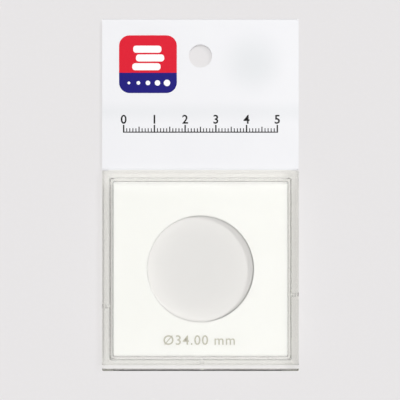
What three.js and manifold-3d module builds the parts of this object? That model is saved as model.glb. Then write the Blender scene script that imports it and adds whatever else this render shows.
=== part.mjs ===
// Clear square case for one coin, with a white insert plate and a white hang header.
// Millimetres. The case lies on its back: +X to the right, +Y towards the header and
// +Z out of the front window. The origin is on the coin hole's axis, on the back face.

import * as THREE from 'three';
import { mergeVertices } from 'three/addons/utils/BufferGeometryUtils.js';
import Module from 'manifold-3d';

// Case, common to both shells
const CASE_WIDTH = 63.5;
const CASE_THICKNESS = 6.25;
const PLATE_THICKNESS = 1.5;
const WALL_THICKNESS = 2.3;
const CASE_CORNER_RADIUS = 0.5;
const BACK_EDGE_BEVEL = 0.2;
const FRONT_EDGE_BEVEL = 0.65;

// Plug rim under the lid, which pushes inside the tray's walls
const FIT_GAP = 0.25;
const RIM_THICKNESS = 0.8;
const RIM_FLOOR_GAP = 0.25;
const RIM_CORNER_RADIUS = 0.4;

// Pry lip along the lid's lower edge, undercut for a fingernail. The tray's lower wall stands back
// from the square of the case, so that more of the lip overhangs it.
const LIP_REACH = 1.15;
const LOWER_WALL_STEP = 0.6;
const UNDERCUT_DEPTH = 0.7;
const UNDERCUT_HEIGHT = 0.85;

// Keying ribs on the rim: the wall that each one faces, and its place along that wall
const KEY_WIDTH = 0.65;
const KEY_REACH = 1.4;
const KEY_BOTTOM = 2.25;
const KEY_CLEARANCE = 0.3;
const KEYS = [
  { wall: 'left', along: -12.1 },
  { wall: 'right', along: -8.3 },
  { wall: 'lower', along: 0.5 },
];

// Insert plate
const INSERT_WIDTH = 56.25;
const INSERT_HEIGHT = 55.75;
const INSERT_THICKNESS = 3.0;
const INSERT_CORNER_RADIUS = 0.3;
const INSERT_DROP = 0.25;
const COIN_HOLE_DIAMETER = 34.5;

// Header: one card folded double at its top edge, with a glue foot beyond its crease
const HEADER_WIDTH = 64.0;
const HEADER_TOP = 81.25;
const HEADER_LEVEL = 2.375;
const PLY_THICKNESS = 0.4;
const PLY_GAP = 0.2;
const GLUED_STRIP = 2.0;
const CREASE_GAP = 0.05;
const PEG_HOLE_DIAMETER = 7.5;
const PEG_HOLE_FROM_TOP = 12.1;
const FOOT_LENGTH = 60.0;
const FOOT_HEIGHT = 4.0;
const FOOT_THICKNESS = 0.375;
const TAPE_THICKNESS = 0.25;
const TAPE_INSET = 0.25;

// How finely round stretches are divided
const CORNER_STEPS = 5;
const FOLD_STEPS = 8;
const COIN_HOLE_STEPS = 48;
const PEG_HOLE_SIDES = 40;
const CUT_MARGIN = 1.0;

// Levels and half widths that follow from the sizes above
const caseHalf = CASE_WIDTH / 2;
const partingLevel = CASE_THICKNESS - PLATE_THICKNESS;
const trayInnerHalf = caseHalf - WALL_THICKNESS;
const rimOuterHalf = trayInnerHalf - FIT_GAP;
const rimInnerHalf = rimOuterHalf - RIM_THICKNESS;
const keyOuter = rimOuterHalf + KEY_REACH;
const panelHalfThickness = PLY_THICKNESS + PLY_GAP / 2;
const tapeFace = caseHalf + TAPE_THICKNESS;
const footFace = tapeFace + FOOT_THICKNESS;
const creaseY = footFace + CREASE_GAP + panelHalfThickness;
const foldY = HEADER_TOP - panelHalfThickness;

const wasm = await Module();
wasm.setup();

// A closed three.js geometry as a solid that can be joined and cut
function toSolid(geometry) {
  const bare = geometry.clone();
  bare.deleteAttribute('normal');
  bare.deleteAttribute('uv');
  const merged = mergeVertices(bare);
  return new wasm.Manifold(new wasm.Mesh({
    numProp: 3,
    vertProperties: new Float32Array(merged.attributes.position.array),
    triVerts: new Uint32Array(merged.index.array),
  }));
}

// A solid back as a three.js geometry
function toGeometry(solid) {
  const mesh = solid.getMesh();
  const geometry = new THREE.BufferGeometry();
  geometry.setAttribute('position', new THREE.BufferAttribute(mesh.vertProperties, 3));
  geometry.setIndex(new THREE.BufferAttribute(mesh.triVerts, 1));
  geometry.computeVertexNormals();
  return geometry;
}

function roundedRectangle(width, height, radius) {
  const x = width / 2 - radius;
  const y = height / 2 - radius;
  const shape = new THREE.Shape();
  shape.absarc(x, y, radius, 0, Math.PI / 2, false);
  shape.absarc(-x, y, radius, Math.PI / 2, Math.PI, false);
  shape.absarc(-x, -y, radius, Math.PI, 1.5 * Math.PI, false);
  shape.absarc(x, -y, radius, 1.5 * Math.PI, 2 * Math.PI, false);
  shape.closePath();
  return shape;
}

// A flat outline raised from one level to another
function raise(shape, low, high, steps = CORNER_STEPS) {
  const settings = { depth: high - low, bevelEnabled: false, curveSegments: steps };
  return new THREE.ExtrudeGeometry(shape, settings).translate(0, 0, low);
}

// A slab with a flat bevel along its lower and upper edges, mitred at the rounded corners
function bevelledSlab(width, height, bevel, low, high) {
  const x = width / 2 - bevel;
  const y = height / 2 - bevel;
  const shape = new THREE.Shape().moveTo(x, y).lineTo(-x, y).lineTo(-x, -y).lineTo(x, -y).closePath();
  const settings = {
    depth: high - low - 2 * bevel,
    bevelEnabled: true,
    bevelThickness: bevel,
    bevelSize: bevel,
    bevelSegments: 1,
  };
  const slab = new THREE.ExtrudeGeometry(shape, settings).translate(0, 0, low + bevel);
  const outline = roundedRectangle(width, height, CASE_CORNER_RADIUS);
  const column = raise(outline, low - CUT_MARGIN, high + CUT_MARGIN);
  return toSolid(slab).intersect(toSolid(column));
}

function block(width, height, low, high) {
  const geometry = new THREE.BoxGeometry(width, height, high - low);
  return geometry.translate(0, 0, (low + high) / 2);
}

// A block that stands out from the rim towards one wall
function keyBlock(key, reach, width, low, high) {
  const depth = reach - rimInnerHalf - RIM_THICKNESS / 2;
  const middle = reach - depth / 2;
  if (key.wall === 'lower') {
    return block(width, depth, low, high).translate(key.along, -middle, 0);
  }
  const side = key.wall === 'left' ? -1 : 1;
  return block(depth, width, low, high).translate(side * middle, key.along, 0);
}

// An outline drawn in Y and Z and swept along X, centred on X = 0
function sweepAcross(shape, width, steps) {
  const settings = { depth: width, bevelEnabled: false, curveSegments: steps };
  const turn = new THREE.Matrix4().makeBasis(
    new THREE.Vector3(0, 1, 0),
    new THREE.Vector3(0, 0, 1),
    new THREE.Vector3(1, 0, 0),
  );
  const geometry = new THREE.ExtrudeGeometry(shape, settings).applyMatrix4(turn);
  return geometry.translate(-width / 2, 0, 0);
}

// A long outline with half-round ends, from one centre to the other
function traceStadium(path, from, to, radius) {
  path.absarc(to, HEADER_LEVEL, radius, -Math.PI / 2, Math.PI / 2, false);
  path.absarc(from, HEADER_LEVEL, radius, Math.PI / 2, 1.5 * Math.PI, false);
  path.closePath();
  return path;
}

// Clear tray: back window, outer walls, and keyways open towards the lid
function backShell() {
  const top = partingLevel + CUT_MARGIN;
  const pocketSide = 2 * trayInnerHalf;
  const pocket = roundedRectangle(pocketSide, pocketSide, RIM_CORNER_RADIUS + FIT_GAP);
  const keywayWidth = KEY_WIDTH + 2 * KEY_CLEARANCE;
  const keywayReach = keyOuter + KEY_CLEARANCE;
  const trayHeight = CASE_WIDTH - LOWER_WALL_STEP;
  let tray = bevelledSlab(CASE_WIDTH, trayHeight, BACK_EDGE_BEVEL, 0, top);
  tray = tray.translate(0, LOWER_WALL_STEP / 2, 0);
  tray = tray.subtract(toSolid(raise(pocket, PLATE_THICKNESS, top + CUT_MARGIN)));
  for (const key of KEYS) {
    const low = KEY_BOTTOM - KEY_CLEARANCE;
    tray = tray.subtract(toSolid(keyBlock(key, keywayReach, keywayWidth, low, top)));
  }
  const above = block(2 * CASE_WIDTH, 2 * CASE_WIDTH, partingLevel, top + CUT_MARGIN);
  return toGeometry(tray.subtract(toSolid(above)));
}

// The wedge of air under the pry lip
function undercut() {
  const slope = UNDERCUT_DEPTH / UNDERCUT_HEIGHT;
  const tip = -caseHalf - LIP_REACH;
  const outside = tip - slope * CUT_MARGIN;
  const inside = tip + UNDERCUT_DEPTH + slope * CUT_MARGIN;
  const bottom = partingLevel - CUT_MARGIN;
  const wedge = new THREE.Shape()
    .moveTo(outside, partingLevel + UNDERCUT_HEIGHT + CUT_MARGIN)
    .lineTo(outside, bottom)
    .lineTo(inside, bottom)
    .closePath();
  return sweepAcross(wedge, 2 * CASE_WIDTH, 1);
}

// Clear lid: front window with its pry lip, plug rim and keying ribs
function frontShell() {
  const rimLow = PLATE_THICKNESS + RIM_FLOOR_GAP;
  const rimHigh = partingLevel + PLATE_THICKNESS / 2;
  const plateHeight = CASE_WIDTH + LIP_REACH;
  const plateLow = partingLevel - CUT_MARGIN;
  const slab = bevelledSlab(CASE_WIDTH, plateHeight, FRONT_EDGE_BEVEL, plateLow, CASE_THICKNESS);
  const below = block(2 * CASE_WIDTH, 2 * CASE_WIDTH, plateLow - CUT_MARGIN, partingLevel);
  const plate = slab.translate(0, -LIP_REACH / 2, 0)
    .subtract(toSolid(below))
    .subtract(toSolid(undercut()));
  const rimShape = roundedRectangle(2 * rimOuterHalf, 2 * rimOuterHalf, RIM_CORNER_RADIUS);
  const inside = roundedRectangle(2 * rimInnerHalf, 2 * rimInnerHalf, INSERT_CORNER_RADIUS);
  rimShape.holes.push(inside);
  let lid = plate.add(toSolid(raise(rimShape, rimLow, rimHigh)));
  for (const key of KEYS) {
    lid = lid.add(toSolid(keyBlock(key, keyOuter, KEY_WIDTH, KEY_BOTTOM, rimHigh)));
  }
  return toGeometry(lid);
}

// White plate that stands on the tray's floor, with the hole that takes the coin
function coinInsert() {
  const plate = roundedRectangle(INSERT_WIDTH, INSERT_HEIGHT, INSERT_CORNER_RADIUS);
  const high = PLATE_THICKNESS + INSERT_THICKNESS;
  const body = toSolid(raise(plate, PLATE_THICKNESS, high).translate(0, -INSERT_DROP, 0));
  const circle = new THREE.Shape().absarc(0, 0, COIN_HOLE_DIAMETER / 2, 0, 2 * Math.PI, false);
  const plug = raise(circle, PLATE_THICKNESS - CUT_MARGIN, high + CUT_MARGIN, COIN_HOLE_STEPS);
  return toGeometry(body.subtract(toSolid(plug)));
}

// White card folded over at the top, its two plies glued just above the crease
function headerPanel() {
  const section = traceStadium(new THREE.Shape(), creaseY, foldY, panelHalfThickness);
  const gap = traceStadium(new THREE.Path(), creaseY + GLUED_STRIP, foldY, PLY_GAP / 2);
  section.holes.push(gap);
  const card = toSolid(sweepAcross(section, HEADER_WIDTH, FOLD_STEPS));
  const radius = PEG_HOLE_DIAMETER / 2;
  const length = 2 * (panelHalfThickness + CUT_MARGIN);
  const peg = new THREE.CylinderGeometry(radius, radius, length, PEG_HOLE_SIDES);
  peg.rotateX(Math.PI / 2).translate(0, HEADER_TOP - PEG_HOLE_FROM_TOP, HEADER_LEVEL);
  return toGeometry(card.subtract(toSolid(peg)));
}

// A flat strip on the tray's top wall, from one distance off the coin axis to another
function wallStrip(length, height, near, far) {
  const strip = new THREE.BoxGeometry(length, far - near, height);
  return strip.translate(0, (near + far) / 2, HEADER_LEVEL);
}

function headerBase() {
  return wallStrip(FOOT_LENGTH, FOOT_HEIGHT, tapeFace, footFace);
}

function headerTape() {
  const length = FOOT_LENGTH - 2 * TAPE_INSET;
  const height = FOOT_HEIGHT - 2 * TAPE_INSET;
  return wallStrip(length, height, caseHalf, tapeFace);
}

const clearPlastic = new THREE.MeshStandardMaterial({
  color: 0xe6e9e4,
  roughness: 0.08,
  metalness: 0,
  transparent: true,
  opacity: 0.35,
});
const whitePlastic = new THREE.MeshStandardMaterial({ color: 0xfafbf6, roughness: 0.45, metalness: 0 });
const whiteCard = new THREE.MeshStandardMaterial({ color: 0xf5f5f9, roughness: 0.3, metalness: 0 });
const adhesive = new THREE.MeshStandardMaterial({ color: 0xe4e0d2, roughness: 0.6, metalness: 0 });

const PIECES = [
  { name: 'back_shell', geometry: backShell(), material: clearPlastic },
  { name: 'front_shell', geometry: frontShell(), material: clearPlastic.clone() },
  { name: 'coin_insert', geometry: coinInsert(), material: whitePlastic },
  { name: 'header_panel', geometry: headerPanel(), material: whiteCard },
  { name: 'header_base', geometry: headerBase(), material: whiteCard.clone() },
  { name: 'header_tape', geometry: headerTape(), material: adhesive },
];

const coinHolder = new THREE.Group();
for (const piece of PIECES) {
  const mesh = new THREE.Mesh(piece.geometry, piece.material);
  mesh.name = piece.name;
  coinHolder.add(mesh);
}

export default coinHolder;
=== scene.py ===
import math

import bmesh
import bpy
from mathutils import Matrix, Vector


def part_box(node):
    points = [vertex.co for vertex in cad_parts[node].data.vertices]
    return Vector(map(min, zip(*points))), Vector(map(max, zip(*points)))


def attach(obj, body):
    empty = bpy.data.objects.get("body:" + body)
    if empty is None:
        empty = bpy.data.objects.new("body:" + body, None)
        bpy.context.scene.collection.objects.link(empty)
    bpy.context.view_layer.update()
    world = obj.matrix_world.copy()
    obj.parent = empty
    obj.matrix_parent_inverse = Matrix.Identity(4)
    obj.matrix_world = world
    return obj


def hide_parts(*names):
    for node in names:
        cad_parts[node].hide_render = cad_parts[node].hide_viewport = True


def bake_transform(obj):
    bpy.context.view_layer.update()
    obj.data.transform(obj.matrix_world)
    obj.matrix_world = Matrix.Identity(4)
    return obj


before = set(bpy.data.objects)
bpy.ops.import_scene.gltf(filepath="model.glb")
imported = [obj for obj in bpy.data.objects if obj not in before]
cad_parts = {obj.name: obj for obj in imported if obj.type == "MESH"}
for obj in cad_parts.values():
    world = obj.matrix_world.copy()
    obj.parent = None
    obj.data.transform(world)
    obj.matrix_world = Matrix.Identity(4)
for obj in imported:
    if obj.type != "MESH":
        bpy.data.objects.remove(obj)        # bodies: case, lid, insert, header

mm = 0.001
sharpAngle = math.radians(35)       # a steeper turn is an edge, not a curve
roundingSteps = 4
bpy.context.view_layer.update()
print("frame loaded:", ", ".join(sorted(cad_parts)))


# small tools

def hexToLinear(code):
    channels = [int(code[i:i + 2], 16) / 255 for i in (1, 3, 5)]
    linear = [c / 12.92 if c <= 0.04045 else ((c + 0.055) / 1.055) ** 2.4 for c in channels]
    return (*linear, 1.0)


def addNode(tree, kind, inputs=None, **settings):
    node = tree.nodes.new("ShaderNode" + kind)
    for name, value in settings.items():
        setattr(node, name, value)
    for name, value in (inputs or {}).items():
        if isinstance(value, bpy.types.NodeSocket):
            tree.links.new(value, node.inputs[name])
        else:
            node.inputs[name].default_value = value
    return node


# thin white sheets let some light through, so their shadows are pale
def letLightThrough(tree, shader, code, rays):
    through = addNode(tree, "BsdfTransparent", {"Color": hexToLinear(code)})
    path = addNode(tree, "LightPath")
    for ray in rays:
        shader = addNode(tree, "MixShader", {0: path.outputs[ray], 1: shader,
                                             2: through.outputs[0]}).outputs[0]
    return shader


def startMaterial(name):
    material = bpy.data.materials.new(name)
    material.use_nodes = True
    tree = material.node_tree
    tree.nodes.clear()
    place = addNode(tree, "TexCoord").outputs["Object"]
    return material, tree, place


def endMaterial(tree, shader, inside=None):
    ends = {"Surface": shader, "Volume": inside} if inside else {"Surface": shader}
    addNode(tree, "OutputMaterial", ends)


def toPiece(bm, name, material):
    bmesh.ops.recalc_face_normals(bm, faces=bm.faces)
    mesh = bpy.data.meshes.new(name)
    bm.to_mesh(mesh)
    bm.free()
    mesh.transform(Matrix.Scale(mm, 4))  # drawn in millimetres, kept in metres
    for polygon in mesh.polygons:
        polygon.use_smooth = True
    piece = bpy.data.objects.new(name, mesh)
    bpy.context.scene.collection.objects.link(piece)
    mesh.materials.append(material)
    return piece


def applyModifiers(piece):
    made = piece.evaluated_get(bpy.context.evaluated_depsgraph_get())
    mesh = bpy.data.meshes.new_from_object(made)
    piece.modifiers.clear()
    piece.data = mesh


def cutBy(piece, tool, operation):
    step = piece.modifiers.new("cut", "BOOLEAN")
    step.operation = operation
    step.solver = "EXACT"
    step.object = tool
    applyModifiers(piece)
    bpy.data.objects.remove(tool)


def softenEdges(piece, width):
    step = piece.modifiers.new("soft edges", "BEVEL")
    step.width = width * mm
    step.segments = 2
    step.limit_method = "ANGLE"
    step.angle_limit = sharpAngle
    step.harden_normals = True
    even = piece.modifiers.new("flat faces shade flat", "WEIGHTED_NORMAL")
    even.mode = "FACE_AREA"
    even.weight = 100
    even.keep_sharp = True
    applyModifiers(piece)


# flat face with four rounded corners, at one level
def roundedFace(bm, width, height, radius, level, shiftY=0.0, steps=8):
    corners = []
    for sideX, sideY in ((-1, -1), (1, -1), (1, 1), (-1, 1)):
        corners.append(bm.verts.new((sideX * width / 2, sideY * height / 2 + shiftY, level)))
    bm.faces.new(corners)
    made = bmesh.ops.bevel(bm, geom=corners, offset=radius, offset_type="OFFSET", segments=steps,
                           profile=0.5, affect="VERTICES", material=-1)
    return made["verts"][0].link_faces[0]


# outlines joined one to the next: far apart at first, so that none is turned, then at their levels
def joinRings(bm, rings, levels, closed=False):
    spread = 10.0
    for index, ring in enumerate(rings):
        verts = list({vert for edge in ring for vert in edge.verts})
        bmesh.ops.translate(bm, verts=verts, vec=(0, 0, index * spread - verts[0].co.z))
    pairs = list(zip(rings, rings[1:])) + ([(rings[-1], rings[0])] if closed else [])
    for near, far in pairs:
        bmesh.ops.bridge_loops(bm, edges=near + far)
    for index, (ring, level) in enumerate(zip(rings, levels)):
        verts = list({vert for edge in ring for vert in edge.verts})
        bmesh.ops.translate(bm, verts=verts, vec=(0, 0, level - index * spread))


def ring(width, height, radius, level, shiftY=0.0, rounding=0.0):
    return {"outline": (width, height, radius, level, shiftY), "level": level, "rounding": rounding}


# a shell that follows rounded outlines; the first and the last stay closed
def shellOfRings(bm, outlines):
    loops = []
    for index, outline in enumerate(outlines):
        face = roundedFace(bm, *outline["outline"])
        loops.append(list(face.edges))
        if 0 < index < len(outlines) - 1:
            bmesh.ops.delete(bm, geom=[face], context="FACES_ONLY")
    joinRings(bm, loops, [outline["level"] for outline in outlines])
    bmesh.ops.recalc_face_normals(bm, faces=bm.faces)
    for loop, outline in zip(loops, outlines):
        if outline["rounding"]:
            bmesh.ops.bevel(bm, geom=loop, offset=outline["rounding"], offset_type="OFFSET",
                            affect="EDGES", segments=roundingSteps, profile=0.5, material=-1)


def boxBetween(bm, low, high):
    size = [b - a for a, b in zip(low, high)]
    middle = [(a + b) / 2 for a, b in zip(low, high)]
    place = Matrix.Translation(middle) @ Matrix.Diagonal((*size, 1.0))
    bmesh.ops.create_cube(bm, size=1.0, matrix=place)


# sizes read from the frame, in millimetres
trayLow, trayHigh = (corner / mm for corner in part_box("back_shell"))
lidLow, lidHigh = (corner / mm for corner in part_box("front_shell"))
insertLow, insertHigh = (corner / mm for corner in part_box("coin_insert"))
panelLow, panelHigh = (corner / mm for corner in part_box("header_panel"))
footLow, footHigh = (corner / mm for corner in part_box("header_base"))
tapeLow, tapeHigh = (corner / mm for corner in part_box("header_tape"))
caseWidth = trayHigh.x - trayLow.x
panelLevel = (panelLow.z + panelHigh.z) / 2


# materials

# clear polystyrene, injection moulded and polished: sharp glints, faint flow lines, hair scratches
def clearPolystyrene():
    material, tree, place = startMaterial("clear_polystyrene")
    flowWidth = 9.0 * mm
    scratchWidth = 0.5 * mm
    flow = addNode(tree, "TexNoise", {"Vector": place, "Scale": 1 / flowWidth, "Detail": 1.0})
    stretch = addNode(tree, "Mapping", {"Vector": place, "Rotation": (0.0, 0.0, 0.6),
                                        "Scale": (1.0, 0.06, 1.0)})
    scratch = addNode(tree, "TexNoise", {"Vector": stretch.outputs[0], "Scale": 1 / scratchWidth,
                                         "Detail": 2.0})
    haze = addNode(tree, "MapRange", {"Value": scratch.outputs["Fac"], "From Min": 0.55,
                                      "From Max": 0.8, "To Min": 0.0, "To Max": 0.03})
    wave = addNode(tree, "Bump", {"Height": flow.outputs["Fac"], "Strength": 0.01,
                                  "Distance": 0.3 * mm})
    plastic = addNode(tree, "BsdfPrincipled", {
        "Base Color": hexToLinear("#fefefd"), "Roughness": haze.outputs["Result"], "IOR": 1.58,
        "Transmission Weight": 1.0, "Normal": wave.outputs["Normal"]})
    # lamps reach what lies behind a flat pane, and lose light where they graze a wall
    graze = addNode(tree, "LayerWeight", {"Blend": 0.5})
    steep = addNode(tree, "MapRange", {"Value": graze.outputs["Facing"], "From Min": 0.4,
                                       "From Max": 0.7})
    dimming = addNode(tree, "Mix", {"Factor": steep.outputs["Result"], 6: hexToLinear("#ffffff"),
                                    7: hexToLinear("#ececea")}, data_type="RGBA")
    through = addNode(tree, "BsdfTransparent", {"Color": dimming.outputs[2]})
    path = addNode(tree, "LightPath")
    bounced = addNode(tree, "MixShader", {0: path.outputs["Is Diffuse Ray"],
                                          1: plastic.outputs[0], 2: through.outputs[0]})
    both = addNode(tree, "MixShader", {0: path.outputs["Is Shadow Ray"],
                                       1: bounced.outputs[0], 2: through.outputs[0]})
    tint = addNode(tree, "VolumeAbsorption", {"Color": hexToLinear("#f2f2ef"), "Density": 110.0})
    endMaterial(tree, both.outputs[0], tint.outputs[0])
    return material


# white rigid sheet, die cut: even satin white with a very fine grain
def whiteStyreneSheet():
    material, tree, place = startMaterial("white_styrene_sheet")
    grainWidth = 0.35 * mm
    cloudWidth = 14.0 * mm
    grain = addNode(tree, "TexNoise", {"Vector": place, "Scale": 1 / grainWidth, "Detail": 3.0})
    cloud = addNode(tree, "TexNoise", {"Vector": place, "Scale": 1 / cloudWidth, "Detail": 2.0})
    tone = addNode(tree, "Mix", {"Factor": cloud.outputs["Fac"], 6: hexToLinear("#efefeb"),
                                 7: hexToLinear("#f2f2ee")}, data_type="RGBA")
    relief = addNode(tree, "Bump", {"Height": grain.outputs["Fac"], "Strength": 0.12,
                                    "Distance": 0.05 * mm})
    satin = addNode(tree, "MapRange", {"Value": grain.outputs["Fac"], "To Min": 0.42,
                                       "To Max": 0.58})
    sheet = addNode(tree, "BsdfPrincipled", {
        "Base Color": tone.outputs[2], "Roughness": satin.outputs["Result"], "IOR": 1.55,
        "Subsurface Weight": 0.5, "Subsurface Radius": (1.0, 1.0, 1.0),
        "Subsurface Scale": 1.5 * mm, "Normal": relief.outputs["Normal"]})
    rays = ("Is Shadow Ray",)
    endMaterial(tree, letLightThrough(tree, sheet.outputs[0], "#a0a0a0", rays))
    return material


# coated white card, printed on both sides: cool white, soft waves, glossy
def coatedCard():
    material, tree, place = startMaterial("coated_white_card")
    waveWidth = 16.0 * mm
    fibreWidth = 0.6 * mm
    badgeGhostPlace = (17.1 * mm, 67.2 * mm, 2.4 * mm)
    badgeGhostReach = (1.0 * mm, 13.0 * mm)
    rulerGhostY = 51.0 * mm
    rulerGhostReach = 4.5 * mm
    wave = addNode(tree, "TexNoise", {"Vector": place, "Scale": 1 / waveWidth, "Detail": 1.0})
    fibre = addNode(tree, "TexNoise", {"Vector": place, "Scale": 1 / fibreWidth, "Detail": 4.0})
    tone = addNode(tree, "Mix", {"Factor": wave.outputs["Fac"], 6: hexToLinear("#e6e6e9"),
                                 7: hexToLinear("#e9e9eb")}, data_type="RGBA")
    # the other side's badge and ruler show through faintly
    mirrored = addNode(tree, "VectorMath", {0: place}, operation="ABSOLUTE")
    badgeAway = addNode(tree, "VectorMath", {0: mirrored.outputs[0], 1: badgeGhostPlace},
                        operation="DISTANCE")
    badgeGhost = addNode(tree, "MapRange", {"Value": badgeAway.outputs["Value"],
                                            "From Min": badgeGhostReach[0],
                                            "From Max": badgeGhostReach[1],
                                            "To Min": 0.8, "To Max": 0.0},
                         interpolation_type="SMOOTHSTEP")
    height = addNode(tree, "SeparateXYZ", {0: place}).outputs["Y"]
    rulerAway = addNode(tree, "Math", {0: height, 1: rulerGhostY}, operation="SUBTRACT")
    rulerNear = addNode(tree, "Math", {0: rulerAway.outputs[0]}, operation="ABSOLUTE")
    rulerGhost = addNode(tree, "MapRange", {"Value": rulerNear.outputs[0], "From Min": 0.0,
                                            "From Max": rulerGhostReach, "To Min": 0.4,
                                            "To Max": 0.0},
                         interpolation_type="SMOOTHSTEP")
    ghost = addNode(tree, "Math", {0: badgeGhost.outputs["Result"],
                                   1: rulerGhost.outputs["Result"]}, operation="MAXIMUM")
    shown = addNode(tree, "Mix", {"Factor": ghost.outputs[0], 6: tone.outputs[2],
                                  7: hexToLinear("#dadcde")}, data_type="RGBA")
    soft = addNode(tree, "Bump", {"Height": wave.outputs["Fac"], "Strength": 0.25,
                                  "Distance": 0.6 * mm})
    fine = addNode(tree, "Bump", {"Height": fibre.outputs["Fac"], "Strength": 0.08,
                                  "Distance": 0.03 * mm, "Normal": soft.outputs["Normal"]})
    gloss = addNode(tree, "MapRange", {"Value": fibre.outputs["Fac"], "To Min": 0.24,
                                       "To Max": 0.4})
    card = addNode(tree, "BsdfPrincipled", {
        "Base Color": shown.outputs[2], "Roughness": gloss.outputs["Result"], "IOR": 1.5,
        "Normal": fine.outputs["Normal"]})
    # light from all round leaves the card a faint shadow and no glow on the floor beside it; the
    # tint counts four times, once for each face of the two plies
    rays = ("Is Diffuse Ray", "Is Shadow Ray")
    endMaterial(tree, letLightThrough(tree, card.outputs[0], "#f7f7f7", rays))
    return material


# offset ink on coated card: even colour with a light press grain
def pressInk(name, code, roughness=0.34):
    material, tree, place = startMaterial(name)
    speckWidth = 0.3 * mm
    speck = addNode(tree, "TexNoise", {"Vector": place, "Scale": 1 / speckWidth, "Detail": 2.0})
    full = hexToLinear(code)
    thin = tuple(min(1.0, channel * 1.12 + 0.004) for channel in full[:3]) + (1.0,)
    tone = addNode(tree, "Mix", {"Factor": speck.outputs["Fac"], 6: full, 7: thin},
                   data_type="RGBA")
    sheen = addNode(tree, "MapRange", {"Value": speck.outputs["Fac"],
                                       "To Min": roughness - 0.06, "To Max": roughness + 0.08})
    ink = addNode(tree, "BsdfPrincipled", {
        "Base Color": tone.outputs[2], "Roughness": sheen.outputs["Result"], "IOR": 1.48,
        "Specular IOR Level": 0.15})
    endMaterial(tree, ink.outputs[0])
    return material


# acrylic adhesive strip: milky, slightly warm, matt
def adhesiveStrip():
    material, tree, place = startMaterial("acrylic_adhesive_strip")
    bubbleWidth = 0.8 * mm
    bubble = addNode(tree, "TexNoise", {"Vector": place, "Scale": 1 / bubbleWidth, "Detail": 2.0})
    tone = addNode(tree, "Mix", {"Factor": bubble.outputs["Fac"], 6: hexToLinear("#e9e7e2"),
                                 7: hexToLinear("#f2f1ee")}, data_type="RGBA")
    matt = addNode(tree, "MapRange", {"Value": bubble.outputs["Fac"], "To Min": 0.45,
                                      "To Max": 0.7})
    strip = addNode(tree, "BsdfPrincipled", {
        "Base Color": tone.outputs[2], "Roughness": matt.outputs["Result"], "IOR": 1.47})
    endMaterial(tree, strip.outputs[0])
    return material


# pale paper sweep under the object
def paleSweep():
    material, tree, place = startMaterial("pale_paper_sweep")
    toothWidth = 1.2 * mm
    tooth = addNode(tree, "TexNoise", {"Vector": place, "Scale": 1 / toothWidth, "Detail": 3.0})
    tone = addNode(tree, "Mix", {"Factor": tooth.outputs["Fac"], 6: hexToLinear("#e1dfdf"),
                                 7: hexToLinear("#e3e1e2")}, data_type="RGBA")
    paper = addNode(tree, "BsdfPrincipled", {"Base Color": tone.outputs[2], "Roughness": 0.9,
                                             "Specular IOR Level": 0.1})
    endMaterial(tree, paper.outputs[0])
    return material


clearPlastic = clearPolystyrene()
whiteSheet = whiteStyreneSheet()
whiteCard = coatedCard()
redInk = pressInk("red_press_ink", "#d2142c")
navyInk = pressInk("navy_press_ink", "#120c6e")
blackInk = pressInk("black_press_ink", "#070708")
whiteInk = pressInk("white_press_ink", "#f4f2f2")
stampInk = pressInk("pale_stamped_ink", "#b3af9e", 0.5)
adhesive = adhesiveStrip()
print("materials made")


# keying ribs on the lid's rim and the keyways that take them, in millimetres
keys = {
    "places": (("left", -12.1), ("right", -8.3), ("lower", 0.5)),
    "width": 0.65,
    "reach": 1.4,       # past the rim's outer face
    "bottom": 2.25,
    "clearance": 0.3,
    "cutMargin": 1.0,   # how far a keyway's cutter stands above the wall
}
tray = {"cornerRadius": 0.5, "backBevel": 0.08, "wall": 2.3, "floor": 1.5, "pocketRadius": 0.65,
        "seatGap": 0.05, "topRounding": 0.15, "leadIn": 0.2, "floorFillet": 0.2, "edge": 0.05}
# the mitre is the corner radius left at the front bevel's inner edge
lid = {"frontBevel": 0.65, "mitre": 0.08, "plate": 1.5, "fitGap": 0.25, "rim": 0.8,
       "rimRadius": 0.45, "insideRadius": 0.6, "rootFillet": 0.15, "leadIn": 0.2,
       "rimRounding": 0.25, "windowFillet": 0.3, "undercutDepth": 0.7, "undercutHeight": 0.75,
       "edge": 0.05}
pocketHalf = caseWidth / 2 - tray["wall"]
rimHalf = pocketHalf - lid["fitGap"]


def keyBlocks(name, reach, width, low, high):
    bm = bmesh.new()
    start = rimHalf - lid["rim"] / 2
    for wall, along in keys["places"]:
        if wall == "lower":
            boxBetween(bm, (along - width / 2, -reach, low), (along + width / 2, -start, high))
        elif wall == "left":
            boxBetween(bm, (-reach, along - width / 2, low), (-start, along + width / 2, high))
        else:
            boxBetween(bm, (start, along - width / 2, low), (reach, along + width / 2, high))
    return toPiece(bm, name, clearPlastic)


# clear tray
def makeTray():
    top = trayHigh.z - tray["seatGap"]
    inner = 2 * pocketHalf
    height = trayHigh.y - trayLow.y
    shift = (trayHigh.y + trayLow.y) / 2
    bevel = tray["backBevel"]
    corner = tray["cornerRadius"]
    bm = bmesh.new()
    shellOfRings(bm, [
        ring(caseWidth - 2 * bevel, height - 2 * bevel, corner - bevel, trayLow.z, shift),
        ring(caseWidth, height, corner, trayLow.z + bevel, shift),
        ring(caseWidth, height, corner, top, shift, rounding=tray["topRounding"]),
        ring(inner, inner, tray["pocketRadius"], top, rounding=tray["leadIn"]),
        ring(inner, inner, tray["pocketRadius"], tray["floor"], rounding=tray["floorFillet"]),
    ])
    piece = toPiece(bm, "tray_clear", clearPlastic)
    gap = keys["clearance"]
    cutBy(piece, keyBlocks("keyway_cutter", rimHalf + keys["reach"] + gap, keys["width"] + 2 * gap,
                           keys["bottom"] - gap, top + keys["cutMargin"]), "DIFFERENCE")
    softenEdges(piece, tray["edge"])
    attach(piece, "case")
    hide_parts("back_shell")


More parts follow.
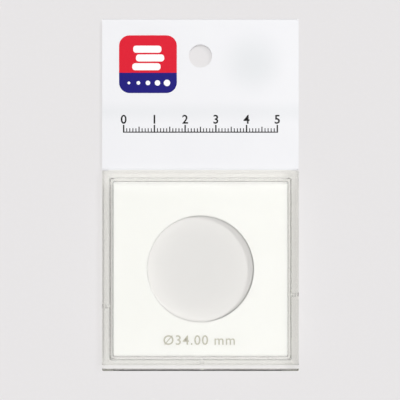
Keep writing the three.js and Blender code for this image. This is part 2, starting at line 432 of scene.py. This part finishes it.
# wedge of air under the pry lip, drawn in Y and Z and swept along X
def undercutWedge(seat):
    margin = 1.0
    slope = lid["undercutDepth"] / lid["undercutHeight"]
    outside = lidLow.y - slope * margin
    inside = lidLow.y + lid["undercutDepth"] + slope * margin
    bm = bmesh.new()
    corners = [(outside, seat + lid["undercutHeight"] + margin), (outside, seat - margin),
               (inside, seat - margin)]
    side = bm.faces.new([bm.verts.new((-caseWidth, y, z)) for y, z in corners])
    swept = bmesh.ops.extrude_face_region(bm, geom=[side])
    moved = [item for item in swept["geom"] if isinstance(item, bmesh.types.BMVert)]
    bmesh.ops.translate(bm, verts=moved, vec=(2 * caseWidth, 0, 0))
    return toPiece(bm, "undercut_wedge", clearPlastic)


# clear lid
def makeLid():
    front = lidHigh.z
    seat = front - lid["plate"]
    height = lidHigh.y - lidLow.y
    shift = (lidHigh.y + lidLow.y) / 2
    bevel = lid["frontBevel"]
    outer = 2 * rimHalf
    inner = outer - 2 * lid["rim"]
    corner = tray["cornerRadius"]
    bm = bmesh.new()
    shellOfRings(bm, [
        ring(caseWidth - 2 * bevel, height - 2 * bevel, lid["mitre"], front, shift),
        ring(caseWidth, height, corner, front - bevel, shift),
        ring(caseWidth, height, corner, seat, shift),
        ring(outer, outer, lid["rimRadius"], seat, rounding=lid["rootFillet"]),
        ring(outer, outer, lid["rimRadius"], lidLow.z, rounding=lid["leadIn"]),
        ring(inner, inner, lid["insideRadius"], lidLow.z, rounding=lid["rimRounding"]),
        ring(inner, inner, lid["insideRadius"], seat, rounding=lid["windowFillet"]),
    ])
    piece = toPiece(bm, "lid_clear", clearPlastic)
    cutBy(piece, undercutWedge(seat), "DIFFERENCE")
    cutBy(piece, keyBlocks("rib_blocks", rimHalf + keys["reach"], keys["width"], keys["bottom"],
                           seat + lid["plate"] / 2), "UNION")
    softenEdges(piece, lid["edge"])
    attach(piece, "lid")
    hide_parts("front_shell")


makeTray()
makeLid()
print("clear shells made")


# white plate with the coin hole, which flares towards the back as a punched hole does
insert = {"holeDiameter": 34.5, "holeSteps": 96, "cornerRadius": 0.3, "cornerSteps": 4,
          "lift": 0.02, "flare": 0.35, "edge": 0.08}


def makeInsert():
    width = insertHigh.x - insertLow.x
    height = insertHigh.y - insertLow.y
    shift = (insertHigh.y + insertLow.y) / 2
    sideCuts = insert["holeSteps"] // 4 - insert["cornerSteps"] - 1
    bm = bmesh.new()
    rings = []
    for level in (insertHigh.z, insertLow.z + insert["lift"]):
        face = roundedFace(bm, width, height, insert["cornerRadius"], level, shift,
                           insert["cornerSteps"])
        outline = list(face.edges)
        bmesh.ops.delete(bm, geom=[face], context="FACES_ONLY")
        longEdges = [edge for edge in outline if edge.calc_length() > height / 2]
        split = bmesh.ops.subdivide_edges(bm, edges=longEdges, cuts=sideCuts)
        parts = [item for item in split["geom"] if isinstance(item, bmesh.types.BMEdge)]
        outside = list({edge for edge in outline + parts if edge.is_valid})
        flare = 0.0 if level == insertHigh.z else insert["flare"]
        circle = bmesh.ops.create_circle(bm, segments=insert["holeSteps"],
                                         radius=insert["holeDiameter"] / 2 + flare,
                                         matrix=Matrix.Translation((0, 0, level)))
        inside = list({edge for vert in circle["verts"] for edge in vert.link_edges})
        rings.append((outside, inside))
    (topOut, topIn), (lowOut, lowIn) = rings
    top, low = insertHigh.z, insertLow.z + insert["lift"]
    joinRings(bm, [topOut, topIn, lowIn, lowOut], [top, top, low, low], closed=True)
    piece = toPiece(bm, "insert_plate", whiteSheet)
    softenEdges(piece, insert["edge"])
    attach(piece, "insert")
    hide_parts("coin_insert")


makeInsert()
print("insert plate made")


# folded header card with its glue flaps, and the tape behind them
header = {"ply": 0.375, "creaseRadius": 0.45, "foldSteps": 6, "frontEdgeInset": 0.6,
          "bend": 1.6, "bendSteps": 6, "foldRow": 0.8, "nearby": 1.0, "foldSlack": 0.001,
          "flapSlack": 0.01,
          "pegDiameter": 7.5, "pegFromTop": 12.1, "pegSteps": 64, "punchDepth": 4.0}
tape = {"gap": 0.01, "edge": 0.06}      # the gap keeps its faces off the card's and the tray's
plyOffset = (panelHigh.z - panelLow.z) / 2 - header["ply"] / 2
creaseY = (footLow.y + footHigh.y) / 2


def makeHeaderCard():
    top = panelHigh.y - header["ply"] / 2
    front = panelLevel + plyOffset
    back = panelLevel - plyOffset
    profile = [(creaseY, footHigh.z), (creaseY, front), (top, front), (top, back),
               (creaseY, back), (creaseY, footLow.z)]
    bm = bmesh.new()
    verts = [bm.verts.new((panelLow.x, y, z)) for y, z in profile]
    edges = [bm.edges.new(pair) for pair in zip(verts, verts[1:])]
    swept = bmesh.ops.extrude_edge_only(bm, edges=edges)
    moved = [item for item in swept["geom"] if isinstance(item, bmesh.types.BMVert)]
    bmesh.ops.translate(bm, verts=moved, vec=(panelHigh.x - panelLow.x, 0, 0))
    nearby = header["nearby"]
    across = [edge for edge in bm.edges if abs(edge.verts[0].co.x - edge.verts[1].co.x) > nearby]
    inner = [edge for edge in across if len(edge.link_faces) == 2]
    folds = [edge for edge in inner if edge.verts[0].co.y > top - nearby]
    creases = [edge for edge in inner if edge.verts[0].co.y < creaseY + nearby]
    foldRadius = plyOffset - header["foldSlack"]
    for bent, radius in ((creases, header["creaseRadius"]), (folds, foldRadius)):
        bmesh.ops.bevel(bm, geom=bent, offset=radius, offset_type="OFFSET", affect="EDGES",
                        segments=header["foldSteps"], profile=0.5, material=-1)
    # rows for the bend and one below the fold, so that the panel between them stays flat
    rows = [footHigh.y + header["bend"] * (step + 1) / header["bendSteps"]
            for step in range(header["bendSteps"])]
    for row in (*rows, top - header["foldRow"]):
        bmesh.ops.bisect_plane(bm, geom=bm.verts[:] + bm.edges[:] + bm.faces[:],
                               plane_co=(0, row, 0), plane_no=(0, 1, 0))
    flapScale = (footHigh.x - footLow.x) / (panelHigh.x - panelLow.x)
    flapsFrom = plyOffset + header["creaseRadius"] - header["flapSlack"]
    for vert in bm.verts:
        if abs(vert.co.z - panelLevel) > flapsFrom:
            vert.co.x *= flapScale
        elif vert.co.z > panelLevel and vert.co.x > 0:
            vert.co.x -= header["frontEdgeInset"]
    piece = toPiece(bm, "header_card", whiteCard)
    wall = piece.modifiers.new("card thickness", "SOLIDIFY")
    wall.thickness = header["ply"] * mm
    wall.offset = 0.0
    wall.use_even_offset = True
    applyModifiers(piece)
    punch = bmesh.new()
    place = Matrix.Translation((0, panelHigh.y - header["pegFromTop"], panelLevel))
    pegRadius = header["pegDiameter"] / 2
    bmesh.ops.create_cone(punch, cap_ends=True, segments=header["pegSteps"], radius1=pegRadius,
                          radius2=pegRadius, depth=header["punchDepth"], matrix=place)
    cutBy(piece, toPiece(punch, "peg_punch", whiteCard), "DIFFERENCE")
    piece.data.set_sharp_from_angle(angle=sharpAngle)
    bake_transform(piece)
    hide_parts("header_panel", "header_base")


def makeTape():
    bm = bmesh.new()
    gap = Vector((0, tape["gap"], 0))
    boxBetween(bm, tuple(tapeLow + gap), tuple(tapeHigh - gap))
    piece = toPiece(bm, "tape_strip", adhesive)
    softenEdges(piece, tape["edge"])
    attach(piece, "case")
    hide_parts("header_tape")


makeHeaderCard()
makeTape()
print("header made")


# printed badge on the header: a stack of coins over a band with a row of dots
badge = {"x": -17.1, "y": 66.5, "size": 18.8, "radius": 3.4, "bandHeight": 6.6,
         "coinShifts": (-0.5, 0.7, -0.2), "coinWidth": 9.2, "coinHeight": 2.3, "coinGap": 0.55,
         "coinRadius": 0.966,
         "dots": (0.45, 0.6, 0.75, 0.9, 1.05), "dotPitch": 3.1, "dotSteps": 32}
# printed ruler below it, in real millimetres
ruler = {"y": 44.2, "length": 50, "lineHeight": 0.35, "lineOverhang": 0.2,
         "tickHeights": (1.1, 1.6, 2.2), "tickWidths": (0.32, 0.36, 0.46), "numeralSize": 4.0,
         "numeralBase": 47.2, "bolder": 0.07}
# pale size stamp on the insert plate
stamp = {"words": "\u00d834.00 mm", "size": 4.4, "spacing": 1.12, "x": -0.4, "y": -24.5,
         "bolder": 0.02}
inkFilm = 0.012          # drawn thicker than real ink, so that it stands clear of the card


def thicken(bm, face, film):
    grown = bmesh.ops.extrude_face_region(bm, geom=[face])
    moved = [item for item in grown["geom"] if isinstance(item, bmesh.types.BMVert)]
    bmesh.ops.translate(bm, verts=moved, vec=(0, 0, film))


# a tile with rounded corners, printed flat at a level
def printedTile(bm, x, y, width, height, radius, level):
    face = roundedFace(bm, width, height, radius, level)
    bmesh.ops.translate(bm, verts=face.verts, vec=(x, y, 0))
    thicken(bm, face, inkFilm)


def printedDot(bm, x, y, radius, level):
    made = bmesh.ops.create_circle(bm, cap_ends=True, segments=badge["dotSteps"], radius=radius,
                                   matrix=Matrix.Translation((x, y, level)))
    thicken(bm, made["verts"][0].link_faces[0], inkFilm)


def printedWords(bm, words, size, spacing, bolder, x, y, level):
    curve = bpy.data.curves.new("printed_words", "FONT")
    curve.body = words
    curve.size = size
    curve.space_character = spacing
    curve.align_x = "CENTER"
    curve.extrude = inkFilm / 2
    curve.offset = bolder
    curve.resolution_u = 4
    words = bpy.data.objects.new("printed_words", curve)
    bpy.context.scene.collection.objects.link(words)
    made = words.evaluated_get(bpy.context.evaluated_depsgraph_get())
    mesh = bpy.data.meshes.new_from_object(made)
    mesh.transform(Matrix.Translation((x, y, level + inkFilm / 2)))
    bm.from_mesh(mesh)
    bpy.data.objects.remove(words)
    bpy.data.curves.remove(curve)
    bpy.data.meshes.remove(mesh)
    bmesh.ops.remove_doubles(bm, verts=bm.verts, dist=0.0005)


# the same print on the header's back: a copy turned half round its upright middle line
def printBothSides(bm):
    copied = bmesh.ops.duplicate(bm, geom=bm.verts[:] + bm.edges[:] + bm.faces[:])
    turned = [item for item in copied["geom"] if isinstance(item, bmesh.types.BMVert)]
    bmesh.ops.rotate(bm, verts=turned, cent=(0, 0, panelLevel),
                     matrix=Matrix.Rotation(math.pi, 3, "Y"))


def finishPrint(bm, name, ink, body):
    piece = toPiece(bm, name, ink)
    for polygon in piece.data.polygons:
        polygon.use_smooth = False
    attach(piece, body)


def makeHeaderPrints():
    face = panelHigh.z
    low = badge["y"] - badge["size"] / 2
    red, navy, white, black = (bmesh.new() for ink in range(4))
    printedTile(red, badge["x"], badge["y"], badge["size"], badge["size"], badge["radius"], face)
    printedTile(navy, badge["x"], badge["y"], badge["size"], badge["size"], badge["radius"],
                face + inkFilm)
    top = low + badge["bandHeight"]
    cut = bmesh.ops.bisect_plane(navy, geom=navy.verts[:] + navy.edges[:] + navy.faces[:],
                                 plane_co=(0, top, 0), plane_no=(0, 1, 0), clear_outer=True)
    rim = [item for item in cut["geom_cut"] if isinstance(item, bmesh.types.BMEdge)]
    bmesh.ops.holes_fill(navy, edges=rim)
    step = badge["coinHeight"] + badge["coinGap"]
    for index, shift in enumerate(badge["coinShifts"]):
        middle = top + badge["coinGap"] + step * (index + 0.5)
        printedTile(white, badge["x"] + shift, middle, badge["coinWidth"], badge["coinHeight"],
                    badge["coinRadius"], face + inkFilm)
    first = badge["x"] - badge["dotPitch"] * (len(badge["dots"]) - 1) / 2
    for index, radius in enumerate(badge["dots"]):
        printedDot(white, first + index * badge["dotPitch"], low + badge["bandHeight"] / 2, radius,
                   face + 2 * inkFilm)
    half = ruler["length"] / 2
    end = half + ruler["lineOverhang"]
    base = ruler["y"] + ruler["lineHeight"]
    boxBetween(black, (-end, ruler["y"], face), (end, base, face + inkFilm))
    for mark in range(ruler["length"] + 1):
        kind = 2 if mark % 10 == 0 else 1 if mark % 5 == 0 else 0
        middle, wide = mark - half, ruler["tickWidths"][kind] / 2
        boxBetween(black, (middle - wide, base, face),
                   (middle + wide, base + ruler["tickHeights"][kind], face + inkFilm))
        if kind == 2:
            printedWords(black, str(mark // 10), ruler["numeralSize"], 1.0, ruler["bolder"], middle,
                         ruler["numeralBase"], face)
    for bm, name, ink in ((red, "badge_red", redInk), (navy, "badge_navy", navyInk),
                          (white, "badge_white", whiteInk), (black, "ruler_black", blackInk)):
        printBothSides(bm)
        finishPrint(bm, name, ink, "header")


def makeInsertStamp():
    bm = bmesh.new()
    printedWords(bm, stamp["words"], stamp["size"], stamp["spacing"], stamp["bolder"], stamp["x"],
                 stamp["y"], insertHigh.z)
    finishPrint(bm, "insert_stamp", stampInk, "insert")


makeHeaderPrints()
makeInsertStamp()
print("prints made")


# camera straight above, at the photograph's framing
camera = {"x": -0.16, "y": 22.3, "z": 350.0, "lens": 96.0, "sensor": 36.0}
cameraData = bpy.data.cameras.new("photo_camera")
cameraData.lens = camera["lens"]
cameraData.sensor_width = camera["sensor"]
cameraData.clip_start = 0.01
photoCamera = bpy.data.objects.new("photo_camera", cameraData)
photoCamera.location = Vector((camera["x"], camera["y"], camera["z"])) * mm
bpy.context.scene.collection.objects.link(photoCamera)
bpy.context.scene.camera = photoCamera

# pale floor, a soft key from the upper right and a fill from above. The room is only mirrored: a
# softbox over the camera with steps in its brightness, and walls that get paler or darker high up.
# Each step or wall names an axis of the direction, its start and end along it, and what it adds.
# A lamp has its direction, its angle in radians and its strength, and the floor's sizes are in mm.
light = {"lamps": (("key_light", (0.40, 0.19, 1.0), 0.15, 1.25),
                   ("fill_light", (0.03, 0.05, 1.0), 0.09, 2.19)),
         "softboxFrom": (0.951, 0.978),
         "softbox": (("Z", 0.0, 0.1, 0.55), ("Y", 0.006, 0.02, 0.6), ("X", 0.076, 0.084, -0.7)),
         "room": 0.5, "wallsFrom": (0.55, 0.7),
         "walls": (("X", -0.1, -0.3, -0.5), ("X", 0.1, 0.3, -0.2), ("Y", -0.1, -0.3, 0.9),
                   ("Y", 0.1, 0.3, 1.4)),
         "backdrop": 0.82, "floorDrop": 0.05, "floorReach": 2000.0}
floorMesh = bpy.data.meshes.new("floor")
floorBm = bmesh.new()
bmesh.ops.create_grid(floorBm, x_segments=1, y_segments=1, size=light["floorReach"] * mm)
floorBm.to_mesh(floorMesh)
floorBm.free()
floor = bpy.data.objects.new("floor", floorMesh)
floor.location.z = (trayLow.z - light["floorDrop"]) * mm
floorMesh.materials.append(paleSweep())
bpy.context.scene.collection.objects.link(floor)

for name, direction, angle, strength in light["lamps"]:
    lampData = bpy.data.lights.new(name, "SUN")
    lampData.angle = angle
    lampData.energy = strength
    lamp = bpy.data.objects.new(name, lampData)
    lamp.rotation_euler = Vector(direction).to_track_quat("Z", "Y").to_euler()
    lamp.visible_glossy = name != "fill_light"      # no hot spot in the window
    lamp.visible_transmission = name != "fill_light"
    bpy.context.scene.collection.objects.link(lamp)

world = bpy.data.worlds.new("studio")
bpy.context.scene.world = world
world.cycles_visibility.diffuse = False     # the room is only mirrored
world.use_nodes = True
worldTree = world.node_tree
worldTree.nodes.clear()
direction = addNode(worldTree, "TexCoord").outputs["Generated"]
part = addNode(worldTree, "SeparateXYZ", {0: direction})
mirroredLevel = light["room"]
for area in ("walls", "softbox"):
    low, high = light[area + "From"]
    mask = addNode(worldTree, "MapRange", {"Value": part.outputs["Z"], "From Min": low,
                                           "From Max": high})
    for axis, start, end, added in light[area]:
        step = addNode(worldTree, "MapRange", {"Value": part.outputs[axis], "From Min": start,
                                               "From Max": end, "To Min": 0.0, "To Max": added})
        mirroredLevel = addNode(worldTree, "Math", {0: step.outputs[0], 1: mask.outputs[0],
                                                    2: mirroredLevel},
                                operation="MULTIPLY_ADD").outputs[0]
mirrored = addNode(worldTree, "Background", {"Color": hexToLinear("#ffffff"),
                                             "Strength": mirroredLevel})
backdrop = addNode(worldTree, "Background", {"Color": hexToLinear("#fffdfd"),
                                             "Strength": light["backdrop"]})
seen = addNode(worldTree, "LightPath").outputs["Is Camera Ray"]
sky = addNode(worldTree, "MixShader", {0: seen, 1: mirrored.outputs[0], 2: backdrop.outputs[0]})
addNode(worldTree, "OutputWorld", {"Surface": sky.outputs[0]})
bpy.context.scene.view_settings.view_transform = "Standard"
bpy.context.scene.cycles.transparent_max_bounces = 24
bpy.context.scene.cycles.max_bounces = 24
bpy.context.scene.cycles.transmission_bounces = 24
bpy.context.scene.cycles.glossy_bounces = 12
print("stage, camera and light set")
